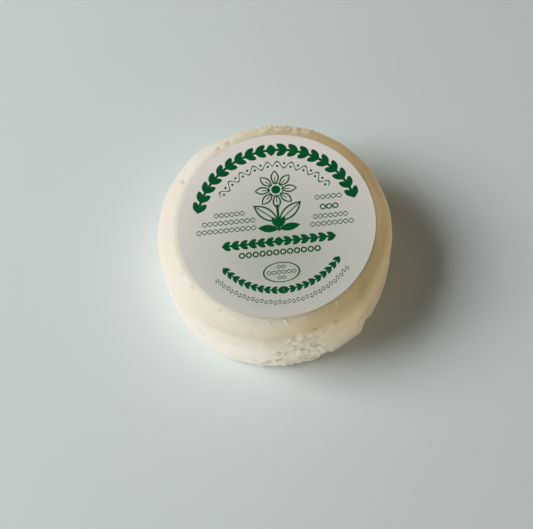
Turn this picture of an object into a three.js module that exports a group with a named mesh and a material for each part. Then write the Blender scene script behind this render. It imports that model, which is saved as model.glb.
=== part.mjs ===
// A small round fresh cheese with a round paper label lying on its top.
// Millimetres, +Z up. The flat base lies on z = 0, and the origin is at the middle of the base.
import * as THREE from "three";
import { mergeVertices } from "three/addons/utils/BufferGeometryUtils.js";

// The cheese: a low drum turned out of a mould, a little wider at its shoulder than at its base.
const BASE_RADIUS = 28.3;
const SHOULDER_RADIUS = 28.7;
const HEIGHT = 23.8; // at the middle of the top
const TOP_SLOPE = 0.042; // the top's rise for each millimetre along +X
const BOTTOM_ROUNDING = 1.2;
const SHOULDER_ROUNDING = 4.8;

// The rim isn't a true circle. Flatter stretches of wall meet at soft corners, each given by
// its angle round the rim and its half width, both in degrees, and how far it stands out.
const RIM_CORNERS = [
  { angle: 32, halfWidth: 9, height: 0.15 },
  { angle: 72, halfWidth: 12, height: 0.25 },
  { angle: 128, halfWidth: 15, height: 0.55 },
  { angle: 232, halfWidth: 20, height: 0.3 },
  { angle: 313, halfWidth: 9, height: 0.6 },
  { angle: 350, halfWidth: 9, height: 0.4 },
];
const RIM_INSET = 0.15; // brings the mean radius back to the one above

// The label: a paper disc parallel to the sloping top, a hair above it.
const LABEL_RADIUS = 24;
const LABEL_THICKNESS = 0.2;
const LABEL_GAP = 0.15;
const LABEL_CENTRE_X = 0.7;
const LABEL_CENTRE_Y = 0.1;

// How finely the curved surfaces are divided.
const RIM_STEPS = 90;
const ROUNDING_STEPS = 4; // in an eighth of a turn
const LABEL_STEPS = 72;

const CHEESE_MATERIAL = new THREE.MeshStandardMaterial({ color: 0xe6dfcd, roughness: 0.5, metalness: 0 });
const LABEL_MATERIAL = new THREE.MeshStandardMaterial({ color: 0xd2d0c4, roughness: 0.8, metalness: 0 });

// The cheese's outline from the middle of its base, round the wall, to the middle of its top.
function cheeseProfile() {
  const top = HEIGHT - SHOULDER_ROUNDING;
  const profile = new THREE.Path();
  profile.moveTo(0, 0);
  profile.lineTo(BASE_RADIUS - BOTTOM_ROUNDING, 0);
  profile.absarc(BASE_RADIUS - BOTTOM_ROUNDING, BOTTOM_ROUNDING, BOTTOM_ROUNDING, -Math.PI / 2, 0);
  profile.lineTo(SHOULDER_RADIUS, top);
  profile.absarc(SHOULDER_RADIUS - SHOULDER_ROUNDING, top, SHOULDER_ROUNDING, 0, Math.PI / 2);
  profile.lineTo(0, HEIGHT);
  return profile.getPoints(ROUNDING_STEPS);
}

// How far the wall stands out of its mean circle at an angle round the rim.
function rimOffset(angle) {
  const fromCorners = RIM_CORNERS.map((corner) => {
    const apart = THREE.MathUtils.euclideanModulo(angle - corner.angle + 180, 360) - 180;
    return corner.height * Math.exp(-((apart / corner.halfWidth) ** 2));
  });
  return fromCorners.reduce((sum, height) => sum + height, -RIM_INSET);
}

// Stretches the turned shape to the real rim, then tips its top. The base stays flat.
function shapeByHand(geometry) {
  const place = geometry.getAttribute("position");
  for (let i = 0; i < place.count; i += 1) {
    const angle = THREE.MathUtils.radToDeg(Math.atan2(place.getY(i), place.getX(i)));
    const stretch = 1 + rimOffset(angle) / SHOULDER_RADIUS;
    const x = place.getX(i) * stretch;
    const z = place.getZ(i);
    place.setXYZ(i, x, place.getY(i) * stretch, z * (1 + (TOP_SLOPE * x) / HEIGHT));
  }
  geometry.computeVertexNormals();
  return geometry;
}

// Only positions are kept, so that the seam and the poles close.
function closed(geometry) {
  geometry.deleteAttribute("normal");
  geometry.deleteAttribute("uv");
  return mergeVertices(geometry);
}

function cheeseBody() {
  const turned = new THREE.LatheGeometry(cheeseProfile(), RIM_STEPS);
  turned.rotateX(Math.PI / 2);
  return new THREE.Mesh(shapeByHand(closed(turned)), CHEESE_MATERIAL);
}

function paperLabel() {
  const disc = new THREE.CylinderGeometry(LABEL_RADIUS, LABEL_RADIUS, LABEL_THICKNESS, LABEL_STEPS);
  disc.rotateX(Math.PI / 2);
  const label = new THREE.Mesh(closed(disc), LABEL_MATERIAL);
  const above = LABEL_GAP + LABEL_THICKNESS / 2;
  label.position.set(LABEL_CENTRE_X, LABEL_CENTRE_Y, HEIGHT + TOP_SLOPE * LABEL_CENTRE_X + above);
  label.rotation.y = -Math.atan(TOP_SLOPE);
  return label;
}

const cheese = new THREE.Group();
const parts = { cheese_body: cheeseBody(), paper_label: paperLabel() };
Object.entries(parts).forEach(([name, mesh]) => {
  mesh.name = name;
  cheese.add(mesh);
});

export default cheese;
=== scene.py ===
"""A small round fresh cheese with a printed paper label on its top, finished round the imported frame."""
import math

import bpy
import numpy as np
from bpy.props import FloatProperty, FloatVectorProperty, IntProperty, PointerProperty
from mathutils import Matrix, Vector


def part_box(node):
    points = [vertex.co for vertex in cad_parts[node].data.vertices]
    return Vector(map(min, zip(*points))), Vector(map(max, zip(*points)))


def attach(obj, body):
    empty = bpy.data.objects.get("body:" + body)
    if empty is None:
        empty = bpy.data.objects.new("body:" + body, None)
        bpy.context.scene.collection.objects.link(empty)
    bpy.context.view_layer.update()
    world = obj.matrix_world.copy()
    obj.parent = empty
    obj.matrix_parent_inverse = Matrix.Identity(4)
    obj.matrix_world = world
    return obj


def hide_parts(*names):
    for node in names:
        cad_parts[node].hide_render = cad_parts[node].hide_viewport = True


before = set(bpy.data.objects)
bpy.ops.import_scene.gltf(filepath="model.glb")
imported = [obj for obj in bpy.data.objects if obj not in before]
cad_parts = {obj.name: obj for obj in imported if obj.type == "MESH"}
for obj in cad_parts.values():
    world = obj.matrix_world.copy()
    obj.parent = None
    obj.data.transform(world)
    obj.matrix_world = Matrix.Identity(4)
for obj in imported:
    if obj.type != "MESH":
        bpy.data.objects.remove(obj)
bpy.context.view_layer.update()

bl_info = {
    "name": "Fresh Cheese",
    "version": (1, 0, 0),
    "blender": (4, 5, 0),
    "location": "View3D > Sidebar > Cheese",
    "description": "A small moulded fresh cheese with a round paper label",
    "category": "Add Mesh",
}

# ---- sizes that come from the frame, in millimetres unless a name says otherwise ----

MM = 0.001
CHEESE_LOW, CHEESE_HIGH = (np.array(corner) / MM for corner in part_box("cheese_body"))
LABEL_LOW, LABEL_HIGH = (np.array(corner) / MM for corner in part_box("paper_label"))
LABEL_SOLID = 0.2  # the thickness and the gap of the frame's label
LABEL_SOLID_GAP = 0.15
LABEL_MIDDLE = (LABEL_LOW + LABEL_HIGH) / 2
LABEL_RADIUS = (LABEL_HIGH[1] - LABEL_LOW[1]) / 2
TOP_SLOPE = (LABEL_HIGH[2] - LABEL_LOW[2] - LABEL_SOLID) / (LABEL_HIGH[0] - LABEL_LOW[0])
TOP_HEIGHT = LABEL_MIDDLE[2] - LABEL_SOLID / 2 - LABEL_SOLID_GAP - TOP_SLOPE * LABEL_MIDDLE[0]
SHOULDER_RADIUS = (CHEESE_HIGH - CHEESE_LOW)[:2].mean() / 2

# ---- the cheese's hand-made shape ----

# Flatter stretches of wall meet at soft corners: angle round the rim and half width in degrees,
# then how far each stands out at the base and at the shoulder.
RIM_CORNERS = [
    (4, 7, 0.1, 0.25),
    (30, 6, 0.2, 0.35),
    (50, 8, 0.1, 0.05),
    (69, 5, 0.2, 0.3),
    (87, 6, 0.2, 0.25),
    (128, 12, 0.6, 0.6),
    (152, 9, 0.2, 0.2),
    (232, 18, 0.33, 0.3),
    (261, 6, 0.3, 0.15),
    (279, 5, 0.05, 0.1),
    (313, 7, 0.8, 0.6),
    (351, 9, 0.4, 0.35),
]
RIM_INSET = 0.12

# Stretches where the skin has torn off and the curd shows: angle round the rim in degrees,
# distance up the wall, half width, half height, lean in degrees and how deep it lies.
TORN_PATCHES = [
    (281, 7, 6.8, 7.5, 0, 0.5),
    (282, 14, 5.6, 8.0, 0, 0.4),
    (278, 19, 2.6, 5.2, 8, 0.26),
    (271, 10, 3.4, 6.5, 15, 0.35),
    (264, 4, 5.0, 3.2, 20, 0.4),
    (290, 15, 2.4, 7.0, -8, 0.25),
    (84, 24, 10.0, 3.2, 0, 0.32),
    (70, 22, 4.0, 3.5, 0, 0.2),
    (152, 4, 6.0, 3.0, -10, 0.2),
    (25, 3, 5.0, 2.5, 15, 0.22),
    (205, 2, 4.0, 1.6, 0, 0.15),
]

# Chips out of the bottom edge: angle in degrees, height reached, half width and depth.
EDGE_CHIPS = [
    (291.5, 3.0, 1.3, 0.9),
    (318, 4.5, 1.8, 0.7),
    (207, 1.8, 3.6, 0.35),
    (140, 2.0, 1.5, 0.5),
]

# Single marks: angle in degrees, distance up the wall, length, width, lean in degrees, and
# height, which is negative for a groove or a pit.
MARKS = [
    (312, 12.2, 4.2, 1.2, 62, -0.36),
    (318.7, 11.6, 4.8, 1.4, 58, -0.45),
    (273.4, 20, 1.4, 0.7, 40, 0.3),
    (275.2, 20.4, 1.4, 0.7, 60, -0.28),
    (277.6, 20.2, 1.6, 0.7, 70, 0.22),
    (268.4, 8.6, 1.8, 0.9, 45, 0.4),
    (270.4, 10.4, 1.6, 0.8, 60, -0.36),
    (274.4, 5.6, 1.8, 1.1, 10, 0.4),
    (281.6, 11.5, 1.9, 0.9, 20, -0.36),
    (281.4, 13, 1.8, 1.0, 30, 0.35),
    (289, 8, 2.0, 1.0, 70, 0.35),
    (297.6, 20.6, 1.7, 0.7, -35, -0.35),
    (286.5, 21.9, 1.5, 0.8, -10, -0.3),
    (253, 26.1, 1.5, 0.45, -55, 0.16),
    (262.5, 26.1, 1.9, 0.45, -50, 0.17),
    (272, 25.9, 1.6, 0.5, -55, 0.22),
    (243, 25.8, 1.2, 0.5, -40, 0.14),
    (281.5, 25.9, 1.2, 0.7, 20, 0.14),
    (301.5, 25.3, 1.4, 0.6, 60, 0.16),
    (224.5, 12, 2.2, 1.4, 70, -0.12),
    (226.5, 9, 4.0, 1.2, 80, -0.1),
    (246.5, 14, 1.6, 1.2, 0, -0.12),
    (256.5, 17, 2.2, 0.9, 90, -0.1),
    (214, 26.2, 1.3, 0.9, 20, -0.16),
    (234.5, 26.2, 1.2, 0.8, 80, -0.16),
    (203.5, 25.9, 1.2, 0.9, 20, -0.12),
    (118, 26.0, 1.5, 0.9, 20, -0.28),
    (112, 25.7, 1.7, 1.0, 30, -0.3),
    (120.5, 25.6, 1.0, 0.8, 0, 0.25),
    (109, 25.5, 1.2, 0.8, 20, 0.3),
    (146, 25.4, 1.3, 0.8, 60, -0.3),
    (95, 23.4, 1.0, 0.7, 30, 0.3),
    (74, 23.4, 1.1, 0.7, 60, 0.3),
]

# Where the columns round the rim stand closer together: angle, half width in degrees, and how
# much closer.
FINE_COLUMNS = [(279, 17, 2.6), (264, 14, 1.0), (80, 20, 1.2), (318, 8, 0.8)]
BASE_ROWS = 10
WALL_ROWS = 150
TOP_ROWS = 12
LABEL_COLUMNS = 288

FULLY_TORN = 0.45  # a patch this deep or deeper is torn right through
SLUMP_RISE = 20  # the front has sunk in most at this distance up the wall
SLUMP_HALF = 3  # and has not sunk much beyond this distance from there

# ---- the studio ----

FLOOR_HALF = 1.3  # half the floor's side, in metres
CAMERA_TARGET = (-2.54, -4.84, 11.0)

# Lamps: name, place and target in metres, width, height, power in watts and colour.
LAMPS = [
    ("key light", (-0.729, 0.092, 0.722), (0, 0, 0), 0.62, 0.62, 8.8, (1.0, 1.0, 1.0)),
    ("front fill", (-0.66, -0.99, 0.09), (0, 0, 0.01), 1.2, 0.16, 5.4, (1.0, 0.93, 0.84)),
    ("side fill", (1.15, 0.15, 0.08), (0, 0, 0.01), 1.0, 0.14, 2.2, (1.0, 0.86, 0.70)),
    ("back fill", (-0.40, 1.08, 0.15), (0, 0, 0.01), 1.0, 0.2, 1.3, (1.0, 0.95, 0.85)),
]


class CheeseSettings(bpy.types.PropertyGroup):
    """The sizes and colours of the cheese."""

    height: FloatProperty(
        name="Height",
        description="Height at the middle of the top",
        default=TOP_HEIGHT * MM,
        unit="LENGTH",
    )
    shoulder_radius: FloatProperty(
        name="Shoulder radius",
        description="Mean radius where the wall meets the shoulder",
        default=SHOULDER_RADIUS * MM,
        unit="LENGTH",
    )
    taper: FloatProperty(
        name="Taper",
        description="How much smaller the radius is at the base",
        default=0.4 * MM,
        unit="LENGTH",
    )
    shoulder_rounding: FloatProperty(
        name="Shoulder rounding",
        description="Radius of the rounded upper edge",
        default=4.8 * MM,
        unit="LENGTH",
    )
    front_slump: FloatProperty(
        name="Front slump",
        description="How much the shoulder has sunk in at the front",
        default=0.4 * MM,
        unit="LENGTH",
    )
    left_fall: FloatProperty(
        name="Left fall",
        description="How far the top falls away at the left of the label",
        default=0.4 * MM,
        unit="LENGTH",
    )
    base_rounding: FloatProperty(
        name="Base rounding",
        description="Radius of the rounded lower edge",
        default=1.2 * MM,
        unit="LENGTH",
    )
    columns: IntProperty(
        name="Columns",
        description="Points round the rim",
        default=580,
        min=64,
    )
    cream: FloatVectorProperty(
        name="Cream",
        description="Colour of the smooth skin",
        subtype="COLOR",
        default=(0.81, 0.765, 0.67),
    )
    # Straw colours the right side: drier skin, and partly painted shade where that side faces away from the
    # key light.
    straw: FloatVectorProperty(
        name="Straw",
        description="Colour of the older, drier skin",
        subtype="COLOR",
        default=(0.95, 0.765, 0.41),
    )
    curd: FloatVectorProperty(
        name="Curd",
        description="Colour of the fresh curd where the skin is torn",
        subtype="COLOR",
        default=(0.96, 0.86, 0.69),
    )


class LabelSettings(bpy.types.PropertyGroup):
    """The sizes and colours of the paper label."""

    radius: FloatProperty(
        name="Radius",
        description="Radius of the paper disc",
        default=LABEL_RADIUS * MM,
        unit="LENGTH",
    )
    thickness: FloatProperty(
        name="Thickness",
        description="Thickness of the paper",
        default=0.05 * MM,
        unit="LENGTH",
    )
    paper: FloatVectorProperty(
        name="Paper",
        description="Colour of the dry paper",
        subtype="COLOR",
        default=(0.96, 0.92, 0.85),
    )
    damp: FloatVectorProperty(
        name="Damp paper",
        description="Colour of the paper where it is damp",
        subtype="COLOR",
        default=(0.57, 0.605, 0.515),
    )
    ink: FloatVectorProperty(
        name="Ink",
        description="Colour of the print",
        subtype="COLOR",
        default=(0.001, 0.106, 0.030),
    )


class StudioSettings(bpy.types.PropertyGroup):
    """The floor, the light and the camera."""

    floor: FloatVectorProperty(
        name="Floor",
        description="Colour of the floor",
        subtype="COLOR",
        default=(0.78, 0.865, 0.86),
    )
    wall_glow: FloatProperty(
        name="Wall glow",
        description="Brightness of the studio's walls, low down all round",
        default=0.62,
    )
    air_glow: FloatProperty(
        name="Air glow",
        description="Brightness of the air overhead",
        default=0.018,
    )
    distance: FloatProperty(
        name="Camera distance",
        description="From the camera to the point that it looks at",
        default=0.45,
        unit="LENGTH",
    )
    elevation: FloatProperty(
        name="Camera elevation",
        description="How far above the horizon the camera stands",
        default=math.radians(67.75),
        subtype="ANGLE",
    )
    roll: FloatProperty(
        name="Camera roll",
        description="How far the camera is turned about its own line of sight",
        default=math.radians(5),
        subtype="ANGLE",
    )
    lens: FloatProperty(
        name="Lens",
        description="Focal length in millimetres on a 36 mm sensor",
        default=122.9,
    )


# ---- numpy surfaces ----


def scatter(cells, seed):
    """One repeatable number from 0 to 1 for each whole-number cell, mixed from its three coordinates."""
    mixed = cells.astype(np.int64) @ np.array([73856093, 19349663, 83492791]) + seed * 40503
    mixed = (mixed ^ (mixed >> 13)) * 1274126177 & 0xFFFFFFFF
    mixed = (mixed ^ (mixed >> 15)) * 668265263 & 0xFFFFFFFF
    return ((mixed ^ (mixed >> 16)) & 0xFFFFFF) / 0xFFFFFF


def swell(points, size, seed):
    """Smooth noise from -1 to 1: each cube's corners have chance values, blended across it."""
    scaled = points / size
    cell = np.floor(scaled)
    part = scaled - cell
    part = part * part * (3 - 2 * part)
    total = np.zeros(points.shape[:-1])
    for corner in np.ndindex(2, 2, 2):
        share = np.where(corner, part, 1 - part).prod(-1)
        total += share * scatter(cell + corner, seed)
    return 2 * total - 1


def curds(points, size, seed):
    """Splits space into grains, one round each scattered seed. For each point: its grain's own
    height from 0 to 1, its height on the grain's own leaning face, which is 0 at the seed, and how
    much nearer its seed is than the next, which is 0 in a crack."""
    scaled = points / size
    cell = np.floor(scaled)
    nearest = np.full(points.shape[:-1], np.inf)
    second = nearest.copy()
    height = np.zeros(points.shape[:-1])
    slope = height.copy()
    for step in np.ndindex(3, 3, 3):
        other = cell + step - 1
        from_seed = scaled - other - np.stack([scatter(other, seed + axis) for axis in range(3)], -1)
        lean = np.stack([scatter(other, seed + axis) for axis in range(4, 7)], -1) - 0.5
        apart = np.linalg.norm(from_seed, axis=-1)
        second = np.minimum(second, np.maximum(nearest, apart))
        height = np.where(apart < nearest, scatter(other, seed + 3), height)
        slope = np.where(apart < nearest, (from_seed * lean).sum(-1), slope)
        nearest = np.minimum(nearest, apart)
    return height, slope, (second - nearest) * size


def flakes(points):
    """Torn curd, in millimetres: tall chips that each lean their own way, smaller chips on them, and
    soft lumps below them all."""
    warped = points + 0.35 * np.stack([swell(points, 1.3, seed) for seed in (11, 12, 13)], -1)
    tall = warped * (1, 1, 0.6)
    height, slope, crack = curds(tall, 1.35, 36)
    small_height, small_slope, _ = curds(tall, 0.7, 56)
    chips = 0.46 * (height - 0.5) + 0.9 * slope + 0.22 * (small_height - 0.5) + 0.35 * small_slope
    return chips + 0.12 * swell(points, 3.5, 41) - 0.1 * np.exp(-((crack / 0.12) ** 2))


def ramp(value, low, high):
    """0 below low, 1 above high, and a smooth step between them."""
    part = np.clip((value - low) / (high - low), 0, 1)
    return part * part * (3 - 2 * part)


def turned_by(angle, other):
    """The shortest turn in degrees from one angle to another, from -180 to 180."""
    return (angle - other + 180) % 360 - 180


def crowded(count, low, high, finer):
    """Numbers from low to high, closer together near each (middle, half width, how much closer)."""
    even = np.linspace(low, high, 4001)
    crowd = 1 + sum(more * np.exp(-(((even - middle) / half) ** 2)) for middle, half, more in finer)
    reached = np.concatenate([[0], np.cumsum(crowd[1:] + crowd[:-1])])
    return np.interp(np.linspace(0, reached[-1], count), reached, even)


def arc(middle_x, middle_y, radius, start, end, steps=60):
    """Points on a circle's arc, from one angle in degrees to another."""
    angle = np.radians(np.linspace(start, end, steps))
    return np.stack([middle_x + radius * np.cos(angle), middle_y + radius * np.sin(angle)], -1)


def cheese_outline(cheese):
    """The turned outline, as rows of (radius, height, outward radius, outward height, distance up the
    wall), and that distance at the shoulder's inner end. It runs out along the base, round the lower
    edge, up the wall, round the shoulder and in to the middle of the top. Rows lie close together
    up the wall and a little way in under the label, and wide apart on the base and the top."""
    top, shoulder, edge = cheese.height / MM, cheese.shoulder_rounding / MM, cheese.base_rounding / MM
    wide = cheese.shoulder_radius / MM
    foot = wide - cheese.taper / MM
    lower = arc(foot - edge, edge, edge, -90, 0)
    upper = arc(wide - shoulder, top - shoulder, shoulder, 0, 90)
    line = np.concatenate([[[0, 0]], lower, upper, [[0, top]]])
    steps = np.linalg.norm(np.diff(line, axis=0), axis=1)
    along = np.concatenate([[0], np.cumsum(steps)])
    start, end = along[1], along[-2]
    under_label = end + 1
    rows = np.concatenate(
        [
            np.linspace(0, start, BASE_ROWS)[:-1],
            np.linspace(start, under_label, WALL_ROWS)[:-1],
            np.linspace(under_label, along[-1], TOP_ROWS),
        ]
    )
    place = np.stack([np.interp(rows, along, line[:, axis]) for axis in (0, 1)], -1)
    reach = 0.3  # the outward direction is taken over this distance
    ahead, behind = (
        np.stack([np.interp(rows + side, along, line[:, axis]) for axis in (0, 1)], -1)
        for side in (reach, -reach)
    )
    tangent = ahead - behind
    outward = np.stack([tangent[:, 1], -tangent[:, 0]], -1)
    outward /= np.linalg.norm(outward, axis=1, keepdims=True)
    return np.concatenate([place, outward, (rows - start)[:, None]], 1), end - start


def rim_offset(angle, share):
    """How far the wall stands out at an angle in degrees, with share going from 0 at the base to 1 at
    the shoulder: the sum of the soft corners' bumps, less the mean."""
    total = np.full(np.broadcast(angle, share).shape, -RIM_INSET)
    for middle, half, low, high in RIM_CORNERS:
        bump = np.exp(-(np.abs(turned_by(angle, middle) / half) ** 1.5))
        total = total + (low + (high - low) * share) * bump
    return total


def on_wall(angle, rise, middle, height, lean, radius):
    """Places on the unrolled wall measured from a mark's middle, along its leaning axis and across it."""
    round_by = np.radians(turned_by(angle, middle)) * radius
    up_by = rise - height
    lean = math.radians(lean)
    along = round_by * math.cos(lean) + up_by * math.sin(lean)
    across = up_by * math.cos(lean) - round_by * math.sin(lean)
    return along, across


def torn_skin(points, angle, rise, radius):
    """How torn the skin is, from 0 to 1, and how deep it lies there. A patch is an oval whose edge
    is pushed in and out by noise, and where patches overlap the deeper one counts."""
    ragged = 0.45 * swell(points, 2.6, 21) + 0.3 * swell(points, 1.0, 22)
    torn = np.zeros(angle.shape)
    depth = np.zeros(angle.shape)
    for middle, height, wide, tall, lean, deep in TORN_PATCHES:
        along, across = on_wall(angle, rise, middle, height, lean, radius)
        inside = ramp(1 - np.hypot(along / wide, across / tall) + ragged, -0.05, 0.3)
        torn = np.maximum(torn, inside * min(1, deep / FULLY_TORN))
        depth = np.maximum(depth, inside * deep)
    return torn, depth


def single_marks(angle, rise, radius):
    """The sum of the marks, each a long soft bump or pit."""
    total = np.zeros(angle.shape)
    for middle, height, length, width, lean, tall in MARKS + chance_pits():
        along, across = on_wall(angle, rise, middle, height, lean, radius)
        total += tall * np.exp(-((2 * along / length) ** 2) - (2 * across / width) ** 2)
    return total


def chance_pits():
    """Small pits and flecks scattered over the whole wall, the same each time."""
    draw = np.random.default_rng(7)
    return [
        (
            draw.uniform(0, 360),
            draw.uniform(2, 26.5),
            draw.uniform(0.5, 1.3),
            draw.uniform(0.3, 0.7),
            draw.uniform(0, 180),
            draw.choice([-1, -1, 1]) * draw.uniform(0.04, 0.14),
        )
        for _ in range(90)
    ]


def edge_chips(angle, rise, radius):
    """How deep the bottom edge is chipped. A chip is flat across its middle and fades upwards."""
    total = np.zeros(angle.shape)
    for middle, tall, half, deep in EDGE_CHIPS:
        round_by = np.radians(turned_by(angle, middle)) * radius / half
        total += deep * np.exp(-(round_by**4)) * np.exp(-((np.maximum(rise, 0) / tall) ** 2))
    return total


def cheese_surface(cheese):
    """The skin, as a function of the angle round the rim and the distance along the turned outline:
    the outline's point, stretched to the rim's soft corners, moved outwards by slow swells, torn
    curd, marks and a little grain, sunk in where the front slumps, cut in by the chips, tipped by
    the slope of the top, and let down beside the label on its left."""
    outline, wall_length = cheese_outline(cheese)
    radius = cheese.shoulder_radius / MM
    top = cheese.height / MM
    angle = crowded(cheese.columns + 1, 0, 360, FINE_COLUMNS)[:-1][None, :]
    reach, height, outward, upward, rise = (outline[:, [column]] for column in range(5))
    around, across = np.cos(np.radians(angle)), np.sin(np.radians(angle))
    plain = np.stack(np.broadcast_arrays(reach * around, reach * across, height), -1)

    # The cheese is left smooth under the label, so that nothing pokes through the paper.
    from_label = np.hypot(plain[..., 0] - LABEL_MIDDLE[0], plain[..., 1] - LABEL_MIDDLE[1]) - LABEL_RADIUS
    bare = np.where(height > top / 2, ramp(from_label, 0.1, 1.2), 1)
    skin = ramp(rise, 0, 1.2) * bare
    rise, angle = np.broadcast_arrays(rise, angle)
    torn, depth = torn_skin(plain, angle, rise, radius)
    torn, depth = torn * skin, depth * skin
    curd = flakes(plain)
    marks = single_marks(angle, rise, radius)
    slow = 0.2 * swell(plain, 13, 1) + 0.09 * swell(plain, 5.5, 2)
    fine = 0.04 * swell(plain, 2.1, 3) + 0.018 * swell(plain, 0.8, 4)
    sunk = np.exp(-(((rise - SLUMP_RISE) / SLUMP_HALF) ** 2)) * ramp(-across, 0.1, 0.8)
    slump = cheese.front_slump / MM * sunk
    raised = skin * (slow + fine + marks - slump) + torn * curd - depth * 0.15

    chips = edge_chips(angle, rise, radius)
    share = np.clip(rise / wall_length, 0, 1)
    stretch = 1 + (rim_offset(angle, share) - chips * ramp(rise, -6, 0)) / radius
    place = np.stack(
        [
            (plain[..., 0] + raised * outward * around) * stretch,
            (plain[..., 1] + raised * outward * across) * stretch,
            np.maximum(height + raised * upward, 0),
        ],
        -1,
    )
    place[..., 2] *= 1 + TOP_SLOPE * place[..., 0] / top
    fall = ramp(from_label, -1, 3) * ramp(-plain[..., 0], 4, 20) * ramp(height / top, 0.75, 0.98)
    place[..., 2] -= cheese.left_fall / MM * fall
    collar = np.where(height > top / 2, ramp(-from_label, -5, 0.5), 0)
    shade = {"torn": torn, "relief": torn * curd, "mark_height": skin * marks, "collar": collar}
    return place, shade


def label_surface(label):
    """The paper: rings from the middle of its underside out to the edge, and back over its top side.
    Its height is the cheese's sloping top and a slow cockle in the paper, which fades out towards
    the edge, where the paper lies close to the cheese."""
    wide, thick = label.radius / MM, label.thickness / MM
    out = np.concatenate([np.linspace(0, 0.9, 28), np.linspace(0.91, 0.999, 11), [1]]) * wide
    reach = np.concatenate([out, out[::-1]])[:, None]
    side = np.repeat([0.0, thick], len(out))[:, None]
    angle = np.radians(np.linspace(0, 360, LABEL_COLUMNS + 1)[:-1])[None, :]
    x, y = reach * np.cos(angle), reach * np.sin(angle)
    flat = np.stack([x, y, np.zeros_like(x)], -1)
    cockle = 0.02 + 0.04 * (swell(flat, 9.0, 51) + 1) * ramp(-reach, -wide, 3 - wide)
    x, y = x + LABEL_MIDDLE[0], y + LABEL_MIDDLE[1]
    return np.stack([x, y, TOP_HEIGHT + TOP_SLOPE * x + cockle + side], -1)


def closed_mesh(name, place, shade=None):
    """A mesh over a grid in millimetres, whose rows run from one pole to the other and whose columns
    run counter-clockwise. The first and the last row are each one point."""
    rows, columns = place.shape[:2]

    def flat(values):
        return np.concatenate([values[0, :1], values[1:-1].reshape(-1, *values.shape[2:]), values[-1, :1]])

    points = flat(place) * MM
    here = 1 + np.arange((rows - 2) * columns).reshape(rows - 2, columns)
    beside = np.roll(here, -1, axis=1)
    quads = np.stack([here[:-1], beside[:-1], beside[1:], here[1:]], -1).reshape(-1, 4)
    bottom = np.stack([np.zeros(columns, int), beside[0], here[0]], -1)
    top = np.stack([here[-1], beside[-1], np.full(columns, len(points) - 1)], -1)
    mesh = bpy.data.meshes.new(name)
    mesh.from_pydata(points.tolist(), [], bottom.tolist() + quads.tolist() + top.tolist())
    mesh.polygons.foreach_set("use_smooth", np.ones(len(mesh.polygons), bool))
    for key, values in (shade or {}).items():
        mesh.attributes.new(key, "FLOAT", "POINT").data.foreach_set("value", flat(values))
    mesh.update()
    piece = bpy.data.objects.new(name, mesh)
    bpy.context.scene.collection.objects.link(piece)
    return piece


# ---- shader maths ----


class Value:
    """A number, vector or colour in a node tree. Python's operators on it add Math nodes."""

    def __init__(self, tree, socket):
        self.tree = tree
        self.socket = socket

    def math(self, operation, *others, clamp=False):
        settings = {"operation": operation, "use_clamp": clamp}
        return self.tree.node("ShaderNodeMath", settings, dict(enumerate((self, *others))))

    def __add__(self, other):
        return self.math("ADD", other)

    def __sub__(self, other):
        return self.math("SUBTRACT", other)

    def __rsub__(self, other):
        settings = {"operation": "SUBTRACT"}
        return self.tree.node("ShaderNodeMath", settings, {0: other, 1: self})

    def __mul__(self, other):
        return self.math("MULTIPLY", other)

    def __neg__(self):
        return self.math("MULTIPLY", -1.0)

    def __abs__(self):
        return self.math("ABSOLUTE")

    def __mod__(self, other):
        return self.math("FLOORED_MODULO", other)

    def __or__(self, other):
        return self.math("MAXIMUM", other)

    def __and__(self, other):
        return self.math("MINIMUM", other)

    __radd__ = __add__
    __rmul__ = __mul__

    def clipped(self):
        return self.math("ADD", 0.0, clamp=True)

    def between(self, low, high):
        """0 at low, 1 at high, smoothly."""
        settings = {"interpolation_type": "SMOOTHSTEP"}
        return self.tree.node("ShaderNodeMapRange", settings, {0: self, 1: low, 2: high})


def flat_length(x, y):
    """The length of a flat vector."""
    return (x * x + y * y).math("SQRT")


class Tree:
    """The nodes of a material or a world, which starts empty."""

    def __init__(self, made):
        made.use_nodes = True
        self.made = made
        self.nodes = made.node_tree.nodes
        self.links = made.node_tree.links
        self.nodes.clear()

    def node(self, kind, settings=None, inputs=None, output=0):
        """A new node: its settings first, then its inputs, by name or place, as Values or constants."""
        node = self.nodes.new(kind)
        for key, setting in (settings or {}).items():
            setattr(node, key, setting)
        for key, given in (inputs or {}).items():
            if isinstance(given, Value):
                self.links.new(given.socket, node.inputs[key])
            else:
                node.inputs[key].default_value = given
        return Value(self, node.outputs[output])


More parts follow.
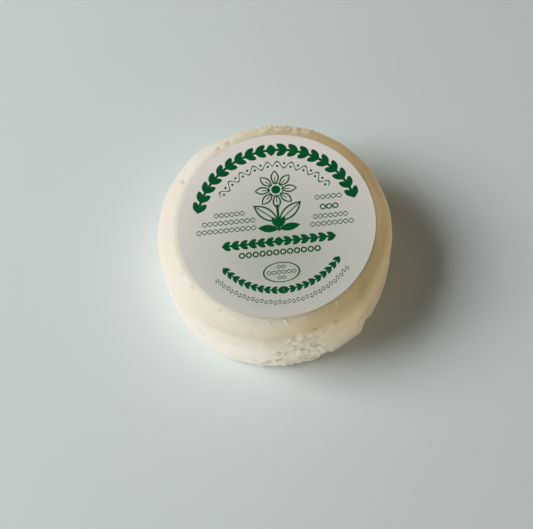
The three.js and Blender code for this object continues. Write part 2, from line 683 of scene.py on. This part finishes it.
class Material(Tree):
    """A new material: one Principled shader, and the nodes that feed it."""

    def __init__(self, name, **constants):
        super().__init__(bpy.data.materials.new(name))
        self.shader = self.nodes.new("ShaderNodeBsdfPrincipled")
        output = self.nodes.new("ShaderNodeOutputMaterial")
        self.links.new(self.shader.outputs[0], output.inputs[0])
        for key, constant in constants.items():
            self.input(key).default_value = constant

    def input(self, key):
        """The shader's input for a keyword such as base_color or ior."""
        return self.shader.inputs[key.replace("_", " ").title().replace("Ior", "IOR")]

    def place(self):
        return self.node("ShaderNodeTexCoord", output="Object")

    def split(self, vector):
        """The x, y and z of a vector, from metres to millimetres."""
        scaled = self.node("ShaderNodeVectorMath", {"operation": "SCALE"}, {0: vector, "Scale": 1 / MM})
        separated = self.node("ShaderNodeSeparateXYZ", None, {0: scaled}).socket.node
        return [Value(self, socket) for socket in separated.outputs]

    def noise(self, vector, size, detail=2.0, roughness=0.5, distortion=0.0):
        """Noise from 0 to 1 whose lumps are about size millimetres wide."""
        inputs = {
            "Vector": vector,
            "Scale": 1 / (size * MM),
            "Detail": detail,
            "Roughness": roughness,
            "Distortion": distortion,
        }
        return self.node("ShaderNodeTexNoise", None, inputs)

    def attribute(self, name):
        return self.node("ShaderNodeAttribute", {"attribute_name": name}, output="Fac")

    def mix(self, share, first, second, blend="MIX"):
        """From the first colour to the second as share goes from 0 to 1. The Mix node's colour
        inputs are its sixth and seventh, and its colour output is its second, counted from 0."""
        settings = {"data_type": "RGBA", "blend_type": blend}
        colours = {6: first, 7: second}
        for key, colour in colours.items():
            if not isinstance(colour, Value):
                colours[key] = (*colour, 1.0)
        return self.node("ShaderNodeMix", settings, {0: share, **colours}, output=2)

    def bump(self, height, distance, strength=1.0):
        inputs = {"Height": height, "Distance": distance * MM, "Strength": strength}
        return self.node("ShaderNodeBump", None, inputs)

    def feed(self, **sockets):
        for key, value in sockets.items():
            self.links.new(value.socket, self.input(key))
        return self.made


# ---- materials ----


def cheese_material(cheese):
    """Moist fresh curd: light goes a few millimetres into it. The skin is cream, and drier and browner
    on its right side, which is partly painted shade. The foot of the wall has painted light, the front of
    the shoulder painted shade, and the ring beside the label painted light on its left and painted shade
    on its right. The back is darker and yellower, and the far left has painted shade. Torn curd is pale,
    with painted highlights on its high chips and painted shade in its hollows; raised marks have painted
    highlights, and pits are painted brown as shade."""
    skin = Material(
        "fresh cheese",
        roughness=0.5,
        specular_ior_level=0.25,
        subsurface_weight=0.7,
        subsurface_radius=(1.0, 0.90, 0.75),
        subsurface_scale=8.0 * MM,
        ior=1.38,
    )
    place = skin.place()
    x, y, z = skin.split(place)
    torn, relief, mark_height, collar = (skin.attribute(name) for name in ("torn", "relief", "mark_height", "collar"))
    cream, straw, curd = tuple(cheese.cream), tuple(cheese.straw), tuple(cheese.curd)
    rosy = (cream[0], cream[1] * 0.97, cream[2] * 0.94)
    clouds = skin.noise(place, 7, 3, 0.55, 0.4).between(0.40, 0.66)
    mottles = skin.noise(place, 1.8, 3, 0.6, 0.5).between(0.48, 0.72)
    dry_and_shaded_side = (x - y * 0.1 + z * 0.1).between(-6, 28)

    # The smooth skin, and the dry skin on the right. The right side is partly painted shade: away from the
    # key light it is painted yellower and darker.
    colour = skin.mix(clouds * 0.5, cream, rosy)
    colour = skin.mix(mottles * 0.35, colour, (0.83, 0.75, 0.58))
    # Painted shade: the right side is darker and browner towards the back.
    dry_and_shaded_skin = skin.mix(y.between(-8, 18), straw, (straw[0] * 0.83, straw[1] * 0.72, straw[2] * 0.67))
    # Painted light: the dry skin is paler low down the wall.
    dry_and_shaded_skin = skin.mix(z.between(19, 6) * 0.6, dry_and_shaded_skin, (0.93, 0.78, 0.58))
    colour = skin.mix(dry_and_shaded_side, colour, dry_and_shaded_skin)

    # Painted light at the foot of the wall, painted shade on the front of the shoulder, and on the ring
    # round the label painted light on the left and painted shade on the right.
    painted_foot_light = z.between(20, 8) * (1 - dry_and_shaded_side) * (1 - x.between(-10, -26) * 0.7)
    # Painted light: the foot of the wall is paler.
    colour = skin.mix(painted_foot_light * 0.75, colour, (0.98, 0.93, 0.84))
    # Painted shade on the front of the shoulder.
    colour = skin.mix(z.between(16, 21) * y.between(-10, -24), colour, (0.86, 0.855, 0.83), "MULTIPLY")
    # Painted light on the left of the ring round the label.
    colour = skin.mix(collar * x.between(8, -18) * 0.8, colour, (1.0, 0.96, 0.84))
    # Painted shade on the right of the ring round the label.
    colour = skin.mix(collar * x.between(0, 14) * y.between(8, -14), colour, (0.72, 0.70, 0.64), "MULTIPLY")

    # Torn curd, whose high chips have painted highlights and whose hollows have painted shade, then painted
    # highlights on raised marks and painted shade in pits and grooves.
    colour = skin.mix(torn * 0.6, colour, curd)
    # Painted highlight on the high chips, and painted shade in the hollows.
    colour = skin.mix((relief * 2.5).clipped() * 0.6, colour, (1.0, 0.95, 0.86))
    colour = skin.mix((relief * -2.5).clipped() * 0.4, colour, (0.62, 0.50, 0.34))
    # Painted highlight on raised marks, and painted shade, brown, in pits and grooves.
    colour = skin.mix((mark_height * 5).clipped() * 0.4, colour, (0.97, 0.94, 0.87))
    colour = skin.mix((mark_height * -3.5).clipped() * 0.6, colour, (0.50, 0.38, 0.25))

    # The back, darker and yellower, and painted shade on the far left.
    colour = skin.mix(y.between(15, 25) * x.between(-18, 2), colour, (0.95, 0.88, 0.72), "MULTIPLY")
    # Painted shade: the far left, outside the ring round the label, is darker.
    colour = skin.mix((1 - collar) * x.between(-14, -28), colour, (0.89, 0.88, 0.89), "MULTIPLY")

    grain = skin.noise(place, 0.55, 3, 0.6)
    smears = skin.noise(place, 3.0, 2, 0.5, 0.6)
    rough = skin.noise(place, 1.1, 4, 0.62, 1.2)
    broken = (rough * 5) % 1.0 * 0.5 + rough * 2
    bumped = skin.bump(grain * 0.4 + smears + torn * broken * 0.4, 0.13, 0.6)
    roughness = 0.44 + grain * 0.12 + torn * 0.3
    return skin.feed(base_color=colour, roughness=roughness, normal=bumped)


# The print: places are millimetres from the middle of the label.
INK_EDGE = 0.07  # how wide the soft edge of the ink is
ARC_MIDDLE = (0.3, 0.2)


def inked(distance):
    """Ink from 0 to 1, full where the distance to a shape's outline is negative."""
    return (distance * (-1 / INK_EDGE)).math("ADD", 0.5, clamp=True)


def leaf(along, across, length, width):
    """Distance to a leaf that runs from its stalk at 0 to its tip. Its edges are parabolas, and it
    is as wide as width half way along."""
    part = along * (1 / length)
    return abs(across) - part * (1 - part) * (2 * width)


def turned(x, y, degrees):
    """A flat vector's parts along and across a direction."""
    cosine, sine = math.cos(math.radians(degrees)), math.sin(math.radians(degrees))
    return x * cosine + y * sine, y * cosine - x * sine


def garland(along, across, pitch, height, stem):
    """A straight stem with a pair of leaves at each step, which lean forward."""
    lean = math.degrees(math.atan2(height * 0.70, pitch * 0.8))
    length = math.hypot(height, pitch) * 1.02
    leaf_along, leaf_across = turned(along % pitch - 0.04 * pitch, abs(across), lean)
    leaves = leaf(leaf_along, leaf_across, length, 0.86 * height)
    return leaves & (abs(across) - stem)


def vine(along, across, pitch, height, line):
    """A waving line with a berry in each hollow."""
    wave = (along * (2 * math.pi / pitch)).math("SINE")
    line_distance = (abs(across - wave * height) - line) * 0.8
    side = wave.math("SIGN")
    berry = flat_length(along % (pitch / 2) - pitch / 4, across * side + 0.45 * height)
    return line_distance & (berry - 1.7 * line)


def row(x, y, middle, count, pitch):
    """Places in a straight row of marks that starts and ends with a whole one: along the row, measured
    from each mark's middle, the distance above the row, and the distance beyond its ends."""
    half = count * pitch / 2
    from_middle = x - middle[0]
    return (from_middle + half) % pitch - pitch / 2, y - middle[1], abs(from_middle) - half


def beads(x, y, middle, count, pitch, radius, line):
    """A row of small rings."""
    along, above, past = row(x, y, middle, count, pitch)
    return (abs(flat_length(along, above) - radius) - line) | past


def chain(x, y, middle, count, pitch, height, line):
    """A row of pointed links, drawn by two waves that cross."""
    along, above, past = row(x, y, middle, count, pitch)
    link = (along * (math.pi / pitch)).math("COSINE") * height
    return ((abs(abs(above) - link) - line) * 0.85) | past


def flower_sprig(x, y):
    """A flower with eight petals in outline, on a stem with leaf pairs and a tuft at its foot."""
    from_stem = x - 0.6
    side = abs(from_stem)
    up = y - 9.2
    petal_turn = math.pi / 4
    angle = from_stem.math("ARCTAN2", up)
    reach = flat_length(from_stem, up)
    folded = (angle + petal_turn / 2) % petal_turn - petal_turn / 2
    petal = leaf(reach * folded.math("COSINE") - 1.3, reach * folded.math("SINE"), 3.9, 2.1)
    rib = (abs(folded) * reach - 0.12) | (reach - 3.4) | (1.5 - reach)
    flower = (abs(petal + 0.2) - 0.2) & (reach - 1.1) & (abs(reach - 1.75) - 0.13) & rib
    stem = (side - 0.32) | (y - 5.2) | (-1.8 - y)
    broad_along, broad_across = turned(side, y - 0.6, 40)
    broad = leaf(broad_along, broad_across, 7.6, 3.1)
    broad_leaf = (abs(broad + 0.22) - 0.22) & ((abs(broad_across) - 0.14) | (broad - 0.1))
    low = leaf(*turned(side, y + 1.3, 8), 5.2, 2.0)
    middle = leaf(*turned(side, y + 1.0, 62), 3.4, 1.5)
    return flower & stem & broad_leaf & low & middle


def printed(paper):
    """All of the label's ornament, as ink from 0 to 1, and the place on the label."""
    x, y, _ = paper.split(paper.place())
    x, y = x - LABEL_MIDDLE[0], y - LABEL_MIDDLE[1]
    arc_x, arc_y = x - ARC_MIDDLE[0], y - ARC_MIDDLE[1]
    reach = flat_length(arc_x, arc_y)
    above = abs(arc_x.math("ARCTAN2", arc_y))
    below = abs(arc_x.math("ARCTAN2", -arc_y))
    side = abs(x - 0.2)

    def on_arc(shape, turn, radius, half_turn, *sizes):
        """A shape bent along an arc, from both ends to its middle."""
        end = math.radians(half_turn) * radius
        along = end - turn * radius
        return shape(along, reach - radius, *sizes) | -along

    marks = [
        on_arc(garland, above, 19.7, 76, 2.75, 1.75, 0.34),
        on_arc(vine, above, 15.7, 57, 3.4, 0.85, 0.18),
        on_arc(garland, below, 17.3, 54, 1.65, 0.95, 0.2),
        on_arc(vine, below, 20.4, 51, 2.2, 0.5, 0.12),
        flower_sprig(x, y),
        garland(13.8 - side, y + 4.5, 2.1, 1.25, 0.28) | (side - 13.8),
        beads(x, y, (0.2, -7.3), 12, 1.66, 0.6, 0.19),
        abs(flat_length((x - 0.2) * (1 / 1.72), y + 12.5) - 2.5) - 0.12,
        chain(x, y, (0.2, -12.5), 6, 1.2, 0.42, 0.11),
        chain(x, y, (0.2, -11.1), 2, 1.1, 0.34, 0.10),
        chain(x, y, (0.2, -13.9), 2, 1.1, 0.34, 0.10),
        chain(x, y, (-11.2, 3.8), 6, 1.26, 0.52, 0.13),
        chain(x, y, (-11.5, 1.75), 10, 1.3, 0.52, 0.13),
        chain(x, y, (-12.2, -0.3), 11, 1.33, 0.52, 0.13),
        chain(x, y, (13.1, 6.0), 5, 1.32, 0.52, 0.13),
        beads(x, y, (13.1, 3.4), 3, 1.5, 0.6, 0.17),
        chain(x, y, (13.2, 1.0), 7, 1.22, 0.52, 0.13),
        chain(x, y, (13.4, -1.0), 8, 1.33, 0.52, 0.13),
    ]
    nearest = marks[0]
    for mark in marks[1:]:
        nearest = nearest & mark
    return inked(nearest), x, y


def label_material(label):
    """Uncoated paper, a little damp: slow stains, faint fibres, and a wet spot where the cheese's
    colour comes through, with the ornament printed in one ink."""
    sheet = Material("label paper", roughness=0.7, specular_ior_level=0.0)
    ink, x, y = printed(sheet)
    place = sheet.place()
    out = flat_length(x, y) * (MM / label.radius)
    stain = sheet.noise(place, 16, 3, 0.5, 0.3)
    blot = 1 - flat_length(x - 1, y + 8).between(3, 15)
    dryness = 0.16 + y * 0.014 - x * 0.001 + out * out * 0.42 + stain * 0.26 - blot * 0.14
    colour = sheet.mix(dryness.clipped(), tuple(label.damp), tuple(label.paper))
    wet = 1 - flat_length((x - 4.2) * 0.55, y + 23.9).between(0.6, 2.6)
    colour = sheet.mix(wet * 0.7, colour, (0.76, 0.69, 0.56))
    fibres = sheet.noise(place, 0.5, 3, 0.6)
    worn = ink * (0.94 + fibres * 0.12)
    colour = sheet.mix(worn.clipped(), colour, tuple(label.ink))
    bumped = sheet.bump(fibres + stain, 0.03, 0.35)
    roughness = 0.74 - wet * 0.25 - ink * 0.12
    return sheet.feed(base_color=colour, roughness=roughness, normal=bumped)


def floor_material(studio):
    """A plain matt sheet."""
    floor = Material("floor", base_color=(*studio.floor, 1.0), roughness=0.9)
    return floor.made


# ---- operators ----


class CHEESE_OT_body(bpy.types.Operator):
    """Make the cheese's fine surface in place of its frame solid"""

    bl_idname = "cheese.body"
    bl_label = "Cheese"

    def execute(self, context):
        cheese = context.scene.cheese
        place, shade = cheese_surface(cheese)
        body = closed_mesh("cheese", place, shade)
        body.data.materials.append(cheese_material(cheese))
        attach(body, "root")
        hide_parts("cheese_body")
        return {"FINISHED"}


class CHEESE_OT_label(bpy.types.Operator):
    """Make the printed paper label in place of its frame solid"""

    bl_idname = "cheese.label"
    bl_label = "Label"

    def execute(self, context):
        label = context.scene.cheese_label
        sheet = closed_mesh("label", label_surface(label))
        sheet.data.materials.append(label_material(label))
        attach(sheet, "root")
        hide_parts("paper_label")
        return {"FINISHED"}


def area_light(name, place, target, wide, tall, power, colour):
    """A rectangular lamp at a place, facing a target."""
    lamp = bpy.data.lights.new(name, "AREA")
    lamp.shape = "RECTANGLE"
    lamp.size = wide
    lamp.size_y = tall
    lamp.energy = power
    lamp.color = colour
    piece = bpy.data.objects.new(name, lamp)
    piece.location = place
    piece.rotation_euler = (Vector(target) - Vector(place)).to_track_quat("-Z", "Y").to_euler()
    bpy.context.scene.collection.objects.link(piece)


def studio_air(studio):
    """Dim air overhead, and pale walls all round, whose glow fades out from 7 to 17 degrees above
    the horizon."""
    air = Tree(bpy.data.worlds.new("studio air"))
    direction = air.node("ShaderNodeTexCoord", output="Object")
    height = air.node("ShaderNodeSeparateXYZ", None, {0: direction}, output="Z")
    strength = studio.wall_glow - height.between(0.12, 0.30) * (studio.wall_glow - studio.air_glow)
    inputs = {"Color": (1.0, 0.96, 0.90, 1.0), "Strength": strength}
    background = air.node("ShaderNodeBackground", None, inputs)
    output = air.nodes.new("ShaderNodeOutputWorld")
    air.links.new(background.socket, output.inputs["Surface"])
    return air.made


def camera_pose(studio):
    """The camera stands in front of the object and above it, looks down at it, and is rolled a little."""
    target = Vector(CAMERA_TARGET) * MM
    back = Vector((0, -math.cos(studio.elevation), math.sin(studio.elevation)))
    pose = (-back).to_track_quat("-Z", "Y").to_matrix().to_4x4()
    rolled = pose @ Matrix.Rotation(-studio.roll, 4, "Z")
    return Matrix.Translation(target + back * studio.distance) @ rolled


class CHEESE_OT_studio(bpy.types.Operator):
    """Make the floor, the lights and the camera"""

    bl_idname = "cheese.studio"
    bl_label = "Studio"

    def execute(self, context):
        scene = context.scene
        studio = scene.cheese_studio
        sides = [(-1, -1), (1, -1), (1, 1), (-1, 1)]
        corners = [(x * FLOOR_HALF, y * FLOOR_HALF, 0) for x, y in sides]
        mesh = bpy.data.meshes.new("floor")
        mesh.from_pydata(corners, [], [(0, 1, 2, 3)])
        mesh.materials.append(floor_material(studio))
        floor = bpy.data.objects.new("floor", mesh)
        scene.collection.objects.link(floor)

        for lamp in LAMPS:
            area_light(*lamp)
        scene.world = studio_air(studio)
        scene.view_settings.view_transform = "Standard"

        lens = bpy.data.cameras.new("camera")
        lens.lens = studio.lens
        lens.sensor_width = 36
        camera = bpy.data.objects.new("camera", lens)
        camera.matrix_world = camera_pose(studio)
        scene.collection.objects.link(camera)
        scene.camera = camera
        return {"FINISHED"}


class VIEW3D_PT_cheese(bpy.types.Panel):
    """Lists the steps that make the cheese"""

    bl_label = "Fresh Cheese"
    bl_idname = "VIEW3D_PT_cheese"
    bl_space_type = "VIEW_3D"
    bl_region_type = "UI"
    bl_category = "Cheese"

    def draw(self, context):
        for group, step in (("cheese", "body"), ("cheese_label", "label"), ("cheese_studio", "studio")):
            box = self.layout.box()
            settings = getattr(context.scene, group)
            for name in settings.__annotations__:
                box.prop(settings, name)
            box.operator(f"cheese.{step}")


CLASSES = (
    CheeseSettings,
    LabelSettings,
    StudioSettings,
    CHEESE_OT_body,
    CHEESE_OT_label,
    CHEESE_OT_studio,
    VIEW3D_PT_cheese,
)


def register():
    for each in CLASSES:
        bpy.utils.register_class(each)
    bpy.types.Scene.cheese = PointerProperty(type=CheeseSettings)
    bpy.types.Scene.cheese_label = PointerProperty(type=LabelSettings)
    bpy.types.Scene.cheese_studio = PointerProperty(type=StudioSettings)


def unregister():
    del bpy.types.Scene.cheese_studio
    del bpy.types.Scene.cheese_label
    del bpy.types.Scene.cheese
    for each in reversed(CLASSES):
        bpy.utils.unregister_class(each)


def main():
    register()
    bpy.ops.cheese.body()
    bpy.ops.cheese.label()
    bpy.ops.cheese.studio()


if __name__ == "__main__":
    main()
